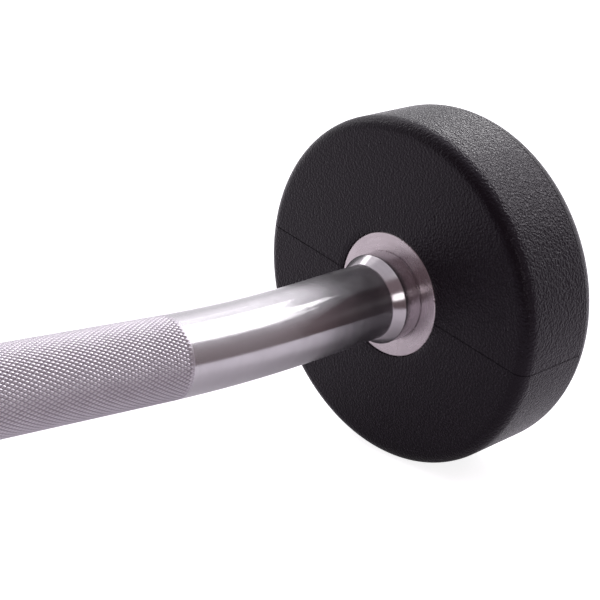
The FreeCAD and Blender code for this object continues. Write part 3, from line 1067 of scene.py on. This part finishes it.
head_outline = [(rim_ease, hub_hole), (rim_corner, hub_hole + rim_corner)]
head_outline += divided((0, hub_hole + rim_ease), (0, head_radius - inner_edge_radius), ring_spacing)
head_outline += arc(inner_edge_radius, head_radius - inner_edge_radius, inner_edge_radius, 180, 90, 14)
head_outline += divided((inner_edge_radius, head_radius), (far_along, head_radius), ring_spacing)[1:]
head_outline += arc(far_along, far_radius, outer_edge_radius, 90, 90 - parting_rise + line_half, 3)
parting_row = len(head_outline)
head_outline += arc(
    far_along, far_radius, outer_edge_radius - seam_depth,
    90 - parting_rise + groove_half, 90 - parting_rise - groove_half, 2)
head_outline += arc(far_along, far_radius, outer_edge_radius, 90 - parting_rise - line_half, 0, 20)
head_outline += divided(
    (head_thickness, far_radius), (head_thickness, cap_hole + rim_ease), ring_spacing)[1:]
head_outline += [
    (head_thickness, cap_hole + rim_ease),
    (head_thickness - rim_corner, cap_hole + rim_corner),
    (head_thickness - rim_ease, cap_hole),
    (core_end, cap_hole),
    (core_end, cavity - core_chamfer),
    (core_end - core_chamfer, cavity),
    (inner_skin + core_chamfer, cavity),
    (inner_skin, cavity - core_chamfer),
    (inner_skin, hub_hole),
]
print("head outline:", len(head_outline), "points, parting line at point", parting_row)

# %% Head with its mould lines
head_columns = 240
seam_rows = parting_row - 1
moulded_corner = 25
groove_columns = [(-2, -1.0), (-1, -groove_floor_share), (0, 0.0), (1, groove_floor_share), (2, 1.0)]

made = spin(head_outline, head_columns)
made.normal_update()
made.verts.ensure_lookup_table()
for row in range(seam_rows):
    for seam_column in (0, head_columns // 2):
        ring_radius = head_outline[row][1]
        inwards = -made.verts[row * head_columns + seam_column].normal
        for step, share in groove_columns:
            vertex = made.verts[row * head_columns + (seam_column + step) % head_columns]
            angle = math.tau * seam_column / head_columns + math.asin(share * seam_width / 2 / ring_radius)
            vertex.co.y = -ring_radius * math.sin(angle)
            vertex.co.z = ring_radius * math.cos(angle)
            if abs(share) < 1:
                vertex.co += inwards * seam_depth
seam_turn = Matrix.Rotation(math.pi / 2 + seam_angle, 4, "X")
bmesh.ops.transform(made, matrix=seam_turn, verts=made.verts)
print("seam cut through", seam_rows, "rings")
head_mesh = mesh_from(made, "head_cover", moulded_corner)
both_ends(head_mesh, "head_cover", "head_cover", urethane_skin)

# %% [markdown]
# ## End cap and its screws
#
# The outer face isn't in the photograph. A turned steel disc closes it, held by three
# countersunk socket screws. The disc is faced on the lathe, so its shine turns with it like the
# hub's. The countersinks are cut with the same outline as the screws, a little larger.

# %% Screw blank and its socket
screw_radius = 2 * MM
screw_head_radius = 4 * MM
screw_length = 10 * MM
screw_socket = 2.5 * MM
socket_depth = 1.6 * MM
cap_inset = 0.9 * MM
screw_sink = 0.2 * MM
screw_ring = 29.75 * MM
screw_count = 3
thread_gap = 0.1 * MM
screw_columns = 48
cap_face = head_thickness - cap_inset
screw_top = cap_face - screw_sink


def countersunk(gap):
    """Outline of a countersunk screw up to its head's rim, grown by a gap."""
    taper = screw_head_radius - screw_radius
    return [
        (screw_top - screw_length, 0),
        (screw_top - screw_length, screw_radius + gap),
        (screw_top - taper, screw_radius + gap),
        (screw_top, screw_head_radius + gap),
    ]


def hexagon(across_flats, start, end):
    """A hexagonal prism along X."""
    reach = across_flats / math.sqrt(3)
    angles = [math.tau * corner / 6 for corner in range(6)]
    corners = [(start, reach * math.cos(angle), reach * math.sin(angle)) for angle in angles]
    return prism(corners, (end - start, 0, 0), "hexagon")


screw_blank = mesh_from(spin(countersunk(0) + [(screw_top, 0)], screw_columns), "cap_screw")
screw = cut_from(screw_blank, hexagon(screw_socket, screw_top - socket_depth, screw_top + tool_overrun))
print("one cap screw:", len(screw.polygons), "faces")

# %% [markdown]
# The three screws of a cap are one screw repeated round a circle, which is a job for Geometry
# Nodes: points on a circle, one instance on each, turned to face outwards from the axis.

# %% Repeat a mesh round the axis
ring_tree, given, result = geometry_tree("screw_ring", [
    ("Count", "Int", screw_count),
    ("Ring Radius", "Float", screw_ring),
    ("Finish", "Material", None),
])
circle = add(ring_tree, "GeometryNodeMeshCircle", Vertices=given["Count"], Radius=1.0)
number = add(ring_tree, "GeometryNodeInputIndex").outputs[0]
turn = maths(ring_tree, "MULTIPLY", maths(ring_tree, "DIVIDE", number, given["Count"]), math.tau)
sideways = maths(ring_tree, "MULTIPLY", maths(ring_tree, "SINE", turn), -1.0)
spoke = combine(ring_tree, 0.0, sideways, maths(ring_tree, "COSINE", turn))
placed = add(ring_tree, "GeometryNodeSetPosition", Geometry=circle.outputs[0],
             Position=vector_maths(ring_tree, "SCALE", spoke, given["Ring Radius"]))
copies = add(ring_tree, "GeometryNodeInstanceOnPoints", Points=placed.outputs[0],
             Instance=given["Geometry"], Rotation=combine(ring_tree, turn, 0.0, 0.0))
real = add(ring_tree, "GeometryNodeRealizeInstances", Geometry=copies.outputs[0])
finished = add(ring_tree, "GeometryNodeSetMaterial", Geometry=real.outputs[0], Material=given["Finish"])
value(ring_tree, result["Geometry"], finished.outputs[0])

screws = made_by(ring_tree, screw, Finish=black_oxide)
screws.set_sharp_from_angle(angle=math.radians(sharp_corner))
screws.materials.clear()
both_ends(screws, "cap_screws", "cap_screws", black_oxide)

# %% End cap
cap_bevel = 0.8 * MM
cap_columns = 360

cap_outline = eased([
    (core_end, 0),
    (core_end, cap_radius),
    (cap_face - cap_bevel, cap_radius),
    (cap_face, cap_radius - cap_bevel),
    (cap_face, 0),
], edge_ease)
cap_blank = mesh_from(spin(cap_outline, cap_columns), "end_cap")
sink_top = cap_face + tool_overrun
sink_outline = countersunk(thread_gap)
sink_outline += [(sink_top, screw_head_radius + thread_gap), (sink_top, 0)]
sink = mesh_from(spin(sink_outline, screw_columns), "sink")
cap_mesh = cut_from(cap_blank, made_by(ring_tree, sink, Finish=cap_facing))
both_ends(cap_mesh, "end_cap", "end_cap", cap_facing)

# %% [markdown]
# ## Floor, light and camera
#
# The barbell stands on a plain pale table that runs away behind it and ends in front of it, just
# short of the camera. The table's own colour takes the shadow. Rays from the camera see it nearly
# white all the same, and rays from gloss and through glass see some white on it, more of it
# further back, which is a painted glow standing in for the light from the back on the table. The
# bare steel shows what is there: a pale band for the table, and above it the brown-grey of the
# room past the table's edge.

# %% Table
floor_drop = head_radius + 0.05 * MM
table_width = 40.0
table_front = 0.27
white_to_camera = 0.85
white_in_gloss = (0.10, 0.50)
white_fades_over = (0.05, 0.35)

made = bmesh.new()
bmesh.ops.create_grid(made, x_segments=1, y_segments=1, size=table_width / 2)
bmesh.ops.translate(made, verts=made.verts, vec=(0, table_width / 2 - table_front, -floor_drop))
floor = bpy.data.objects.new("floor", mesh_from(made, "floor"))
bpy.context.scene.collection.objects.link(floor)

floor_paint, tree, shader = new_material(
    "floor_paint", Roughness=0.9, Base_Color=(0.67, 0.641, 0.689, 1), Emission_Color=(1, 1, 1, 1))
rays = add(tree, "ShaderNodeLightPath").outputs
seen = maths(tree, "MULTIPLY", rays["Is Camera Ray"], white_to_camera)
mirrored = maths(tree, "MAXIMUM", rays["Is Glossy Ray"], rays["Is Transmission Ray"])
# Painted light: the white seen in gloss grows towards the back, a glow that stands in for the back light
# on the table.
painted_back_glow = spread(tree, separate(tree, object_place(tree))[1], *white_fades_over, *white_in_gloss)
value(tree, shader["Emission Strength"], maths(tree, "MULTIPLY_ADD", mirrored, painted_back_glow, seen))
floor.data.materials.append(floor_paint)
print("table lies", round(floor_drop / MM, 2), "mm under the heads' axis")

# %% [markdown]
# The light is a studio's: a white sweep all round, a glow high at the back right, a dimmer patch
# overhead at the left, and the dark side of the room behind the camera. The polished bar mirrors
# it as a white stripe, a brown-grey band and the pale table below. The world gives all that is
# wide and soft, and area lamps stand in for the softboxes. Places in the studio are given by two
# angles, as a photographer would point at them from the head.

# %% Directions in the studio
def studio_way(azimuth, elevation):
    """A direction from two angles in degrees. Azimuth 0 is +Y and 90 is +X."""
    turn, rise = math.radians(azimuth), math.radians(elevation)
    return Vector((math.sin(turn) * math.cos(rise), math.cos(turn) * math.cos(rise), math.sin(rise)))


def toward(tree, way, azimuth, elevation):
    """How far a direction points to a place in the studio: 1 is straight at it."""
    return vector_maths(tree, "DOT_PRODUCT", way, studio_way(azimuth, elevation))


# %% World
world = bpy.data.worlds.new("studio")
bpy.context.scene.world = world
world.use_nodes = True
tree = world.node_tree
tree.nodes.clear()
way = add(tree, "ShaderNodeTexCoord").outputs["Generated"]
rise = toward(tree, way, 0, 90)
glow = spread(tree, toward(tree, way, 52, 60), 0.76, 1.0)
sweep = blend(tree, glow, (0.82, 0.81, 0.84), (1.65, 1.63, 1.68))
overhead = spread(tree, toward(tree, way, -75, 72), 0.86, 0.93, smooth=True)
bright_side = blend(tree, overhead, sweep, (0.66, 0.64, 0.68))
room = blend(tree, spread(tree, rise, -0.15, 0.60), (0.15, 0.11, 0.115), (0.25, 0.195, 0.21))
room_side = spread(tree, toward(tree, way, 216, 0), 0.10, 0.17, smooth=True)
room_height = spread(tree, rise, 0.76, 0.86, 1.0, 0.0, smooth=True)
in_room = maths(tree, "MULTIPLY", room_side, room_height)
studio = add(tree, "ShaderNodeBackground", Color=blend(tree, in_room, bright_side, room), Strength=1.0)
plain_white = add(tree, "ShaderNodeBackground", Color=(1, 1, 1, 1))
camera_ray = add(tree, "ShaderNodeLightPath").outputs["Is Camera Ray"]
backgrounds = (studio.outputs[0], plain_white.outputs[0])
chosen = filled(tree, add(tree, "ShaderNodeMixShader"), camera_ray, *backgrounds)
add(tree, "ShaderNodeOutputWorld", Surface=chosen)
print("world built:", world.name, "with", len(tree.nodes), "nodes")

# %% [markdown]
# Seven softboxes point at the right head, and each stands where a surface of the object mirrors
# it. The rim softbox serves the top of the head's side, and the long one the stretch below it,
# because the bar mirrors nothing from there. The three keys further on light the rest of the side
# and draw the white stripe along the bar. The back and side softboxes put the two glints on the
# collar's taper.

# %% Softboxes
aim = Vector((face_place, 0, 0))


def softbox(name, azimuth, elevation, distance, width, height, brightness):
    """A rectangular lamp aimed at the right head: two angles in degrees, then metres."""
    way = studio_way(azimuth, elevation)
    lamp = bpy.data.lights.new(name, "AREA")
    lamp.shape = "RECTANGLE"
    lamp.size, lamp.size_y = width, height
    lamp.energy = brightness * math.pi * width * height
    holder = bpy.data.objects.new(name, lamp)
    holder.location = aim + way * distance
    holder.rotation_mode = "QUATERNION"
    holder.rotation_quaternion = way.to_track_quat("Z", "Y")
    bpy.context.scene.collection.objects.link(holder)
    print(name, "gives", round(lamp.energy, 1), "W")


softbox("key_softbox", 117, 35, 1.6, 0.34, 0.28, 4.0)
softbox("upper_key", 113, 45.5, 1.55, 0.24, 0.36, 4.0)
softbox("long_key", 89, 41, 1.6, 0.70, 0.26, 9.0)
softbox("lower_key", 116, 28.5, 1.6, 0.28, 0.22, 9.0)
softbox("rim_softbox", 60, 21, 1.6, 0.30, 0.28, 6.0)
softbox("back_softbox", -5, 38, 1.8, 0.90, 0.40, 2.2)
softbox("side_softbox", -156, 13, 1.6, 0.35, 0.40, 4.0)

# %% [markdown]
# The camera stands where the photograph was taken from: close to the bar's middle and a little
# above it, turned twenty degrees down. Its place and lens were worked out from the ellipses of
# the head, the hub and the collar in the picture.

# %% Camera
camera_from_face = Vector((-381.11, -362.21, 188.78)) * MM
view_way = Vector((0.6372029, 0.6906452, -0.3420258))
sensor_mm = 36
lens_mm = 84.25
nearest_seen = 10 * MM

camera = bpy.data.objects.new("camera", bpy.data.cameras.new("camera"))
bpy.context.scene.collection.objects.link(camera)
camera.data.sensor_width = sensor_mm
camera.data.lens = lens_mm
camera.data.clip_start = nearest_seen
camera.location = aim + camera_from_face
camera.rotation_mode = "QUATERNION"
camera.rotation_quaternion = view_way.to_track_quat("-Z", "Y")
bpy.context.scene.camera = camera
bpy.context.scene.view_settings.view_transform = "Standard"
print("camera at", [round(c / MM, 1) for c in camera.location], "mm")
